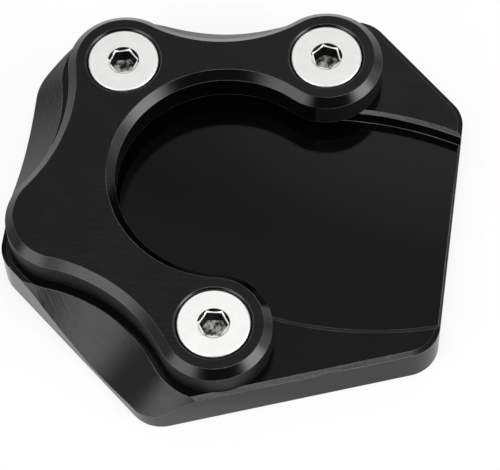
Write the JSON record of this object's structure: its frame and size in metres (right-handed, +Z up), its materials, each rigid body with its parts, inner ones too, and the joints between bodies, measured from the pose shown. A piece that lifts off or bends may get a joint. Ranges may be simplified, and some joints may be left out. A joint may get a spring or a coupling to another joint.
{
  "type": "side-stand foot enlarger",
  "caption": "Side-stand foot enlarger: bevelled base plate with an open-sided foot pocket, under a lobed C-shaped clamp plate held down by countersunk hex socket screws.",
  "frame": {"origin": "on the ground face, under the centre of the round opening of the clamp plate, which is where the stand's foot sits", "axes": "+X points out of the open end of the pocket, square to the straight edge there; +Z points up from the ground; +Y completes the right-handed frame"},
  "size_m": [0.0745, 0.0774, 0.014],
  "materials": {
    "base_anodised": "satin black anodised, milled scallops",
    "clamp_anodised": "black anodised over a finely brushed face",
    "screw_steel": "bright, turned"
  },
  "bodies": {
    "root": {"base_plate": "base_anodised", "clamp_plate": "clamp_anodised", "front_screw": "screw_steel", "rear_left_screw": "screw_steel", "rear_right_screw": "screw_steel"}
  },
  "joints": []
}
